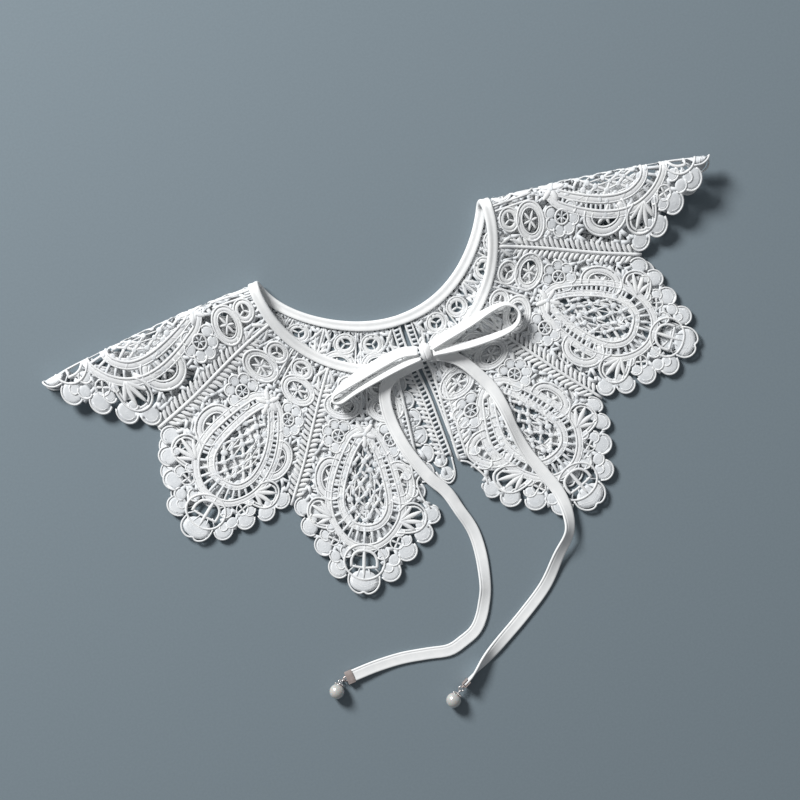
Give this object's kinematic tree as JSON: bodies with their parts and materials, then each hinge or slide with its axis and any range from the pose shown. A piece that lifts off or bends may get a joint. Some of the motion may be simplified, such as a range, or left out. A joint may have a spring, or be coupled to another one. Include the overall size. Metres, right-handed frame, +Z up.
{
  "type": "lace collar",
  "caption": "Detachable lace collar with scalloped petals, a bound neck edge and a bow tie, laid flat and folded at the shoulders.",
  "frame": {"origin": "centre of the collar's bounding box on the surface it lies on, measured without the tie and what hangs on it", "axes": "+X from one shoulder wing's tip to the other, -Y towards the front opening, +Z up"},
  "size_m": [0.4364, 0.292, 0.0168],
  "materials": {
    "lace_thread": "matte rayon embroidery thread",
    "satin_tape": "soft satin tape",
    "silver_metal": "plated, polished",
    "pearl": "pearl lustre"
  },
  "bodies": {
    "root": {"lace_left": "lace_thread", "lace_right": "lace_thread", "neck_binding": "satin_tape", "bow_knot": "satin_tape", "bow_loop_left": "satin_tape", "bow_loop_right": "satin_tape", "tie_tail_left": "satin_tape", "tie_tail_right": "satin_tape", "crimp_left": "silver_metal", "crimp_right": "silver_metal", "jump_ring_left": "silver_metal"},
    "drop_left": {"bead_cap_left": "silver_metal", "pearl_left": "pearl"},
    "drop_right": {"jump_ring_right": "silver_metal", "bead_cap_right": "silver_metal", "pearl_right": "pearl"}
  },
  "joints": [
    {"name": "left_drop_swing", "type": "hinge", "parent": "root", "child": "drop_left", "pos_m": [-0.10272, -0.14845, 0.00231], "axis": [0, 0, 1], "range_deg": [-115, 25]},
    {"name": "right_drop_swing", "type": "hinge", "parent": "root", "child": "drop_right", "pos_m": [-0.03322, -0.17637, 0.00404], "axis": [0, 0, 1], "range_deg": [-95, 45]}
  ]
}
